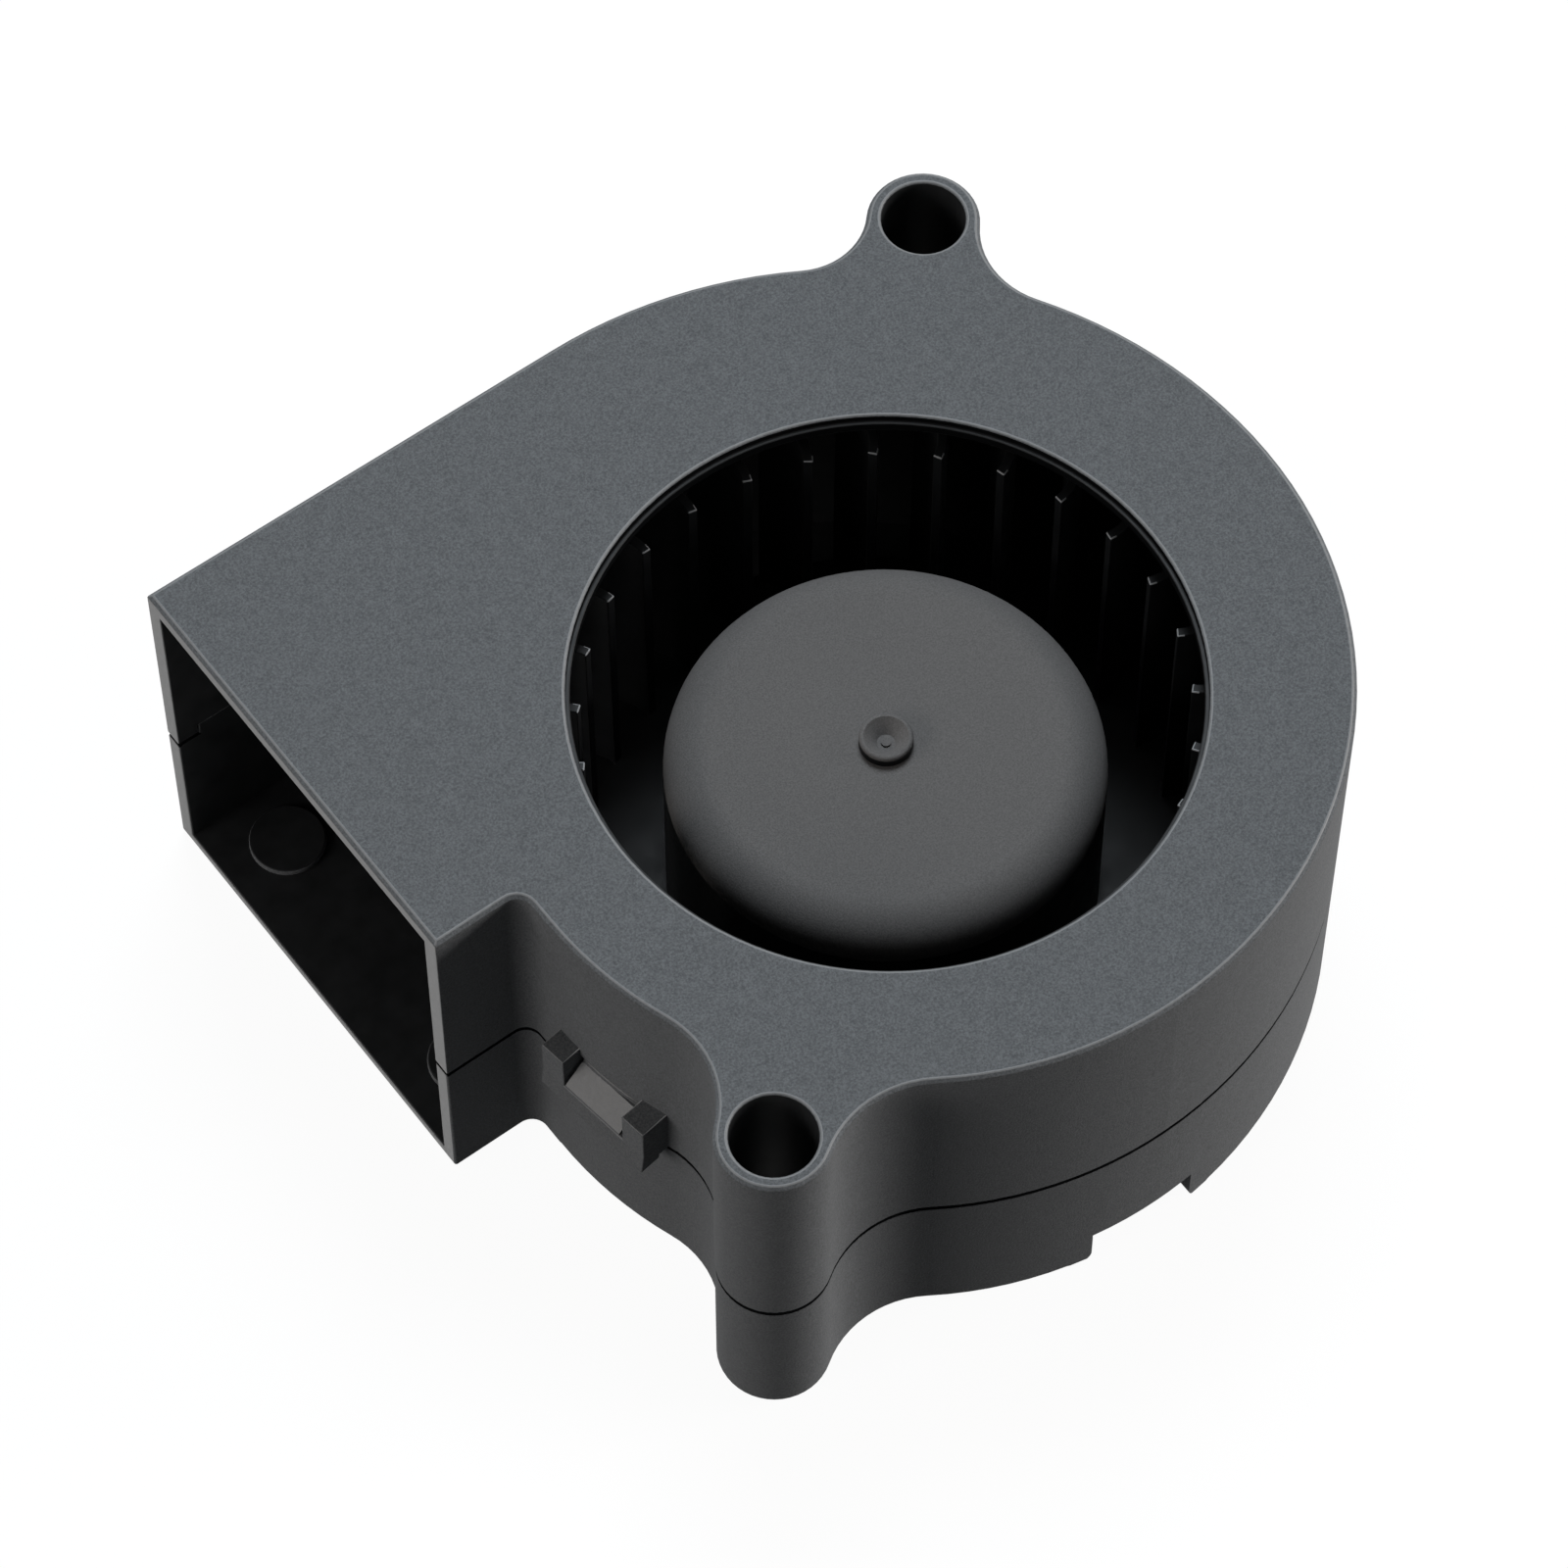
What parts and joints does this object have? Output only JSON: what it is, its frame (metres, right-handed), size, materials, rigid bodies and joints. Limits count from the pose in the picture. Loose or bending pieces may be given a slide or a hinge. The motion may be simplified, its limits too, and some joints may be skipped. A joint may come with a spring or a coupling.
{
  "type": "centrifugal blower",
  "caption": "Small DC centrifugal blower: snap-fit scroll housing with round axial inlet, rectangular side outlet, diagonal mounting ears and a forward-curved impeller.",
  "frame": {"origin": "on the rotor axis, in the plane of the base's underside", "axes": "+Z along the rotor axis to the inlet, -X out of the outlet, +Y to the straight duct wall"},
  "size_m": [0.0599, 0.0582, 0.028],
  "materials": {
    "housing_plastic": "fine moulded grain",
    "impeller_plastic": "satin moulded",
    "brass": "turned",
    "sintered_bronze": "sintered, oil filled",
    "white_plastic": "smooth moulded",
    "lamination_steel": "stamped and stacked",
    "insulator_plastic": "moulded",
    "enamelled_copper": "enamelled wire, wound",
    "tinned_metal": "tinned",
    "board_laminate": "solder mask",
    "epoxy_package": "moulded",
    "ceramic": "fired",
    "zinc_plated_steel": "zinc plated",
    "bonded_ferrite": "bonded",
    "ground_steel": "ground"
  },
  "bodies": {
    "housing": {"inlet_cover": "housing_plastic", "base_case": "housing_plastic", "bearing_tube": "brass", "sleeve_bearing": "sintered_bronze", "thrust_plate": "white_plastic", "stator_core": "lamination_steel", "upper_insulator": "insulator_plastic", "lower_insulator": "insulator_plastic", "coil_1": "enamelled_copper", "coil_2": "enamelled_copper", "coil_3": "enamelled_copper", "coil_4": "enamelled_copper", "winding_pins": "tinned_metal", "circuit_board": "board_laminate", "hall_sensor": "epoxy_package", "drive_chip": "epoxy_package", "chip_capacitors": "ceramic", "chip_resistors": "epoxy_package", "diode": "epoxy_package", "solder_pads": "tinned_metal"},
    "rotor": {"impeller": "impeller_plastic", "rotor_yoke": "zinc_plated_steel", "ring_magnet": "bonded_ferrite", "rotor_bush": "brass", "shaft": "ground_steel", "retaining_washer": "white_plastic", "oil_washer": "white_plastic"}
  },
  "joints": [
    {"name": "rotor_spin", "type": "hinge", "parent": "housing", "child": "rotor", "pos_m": [0, 0, 0.0092], "axis": [0, 0, 1], "continuous": true}
  ]
}
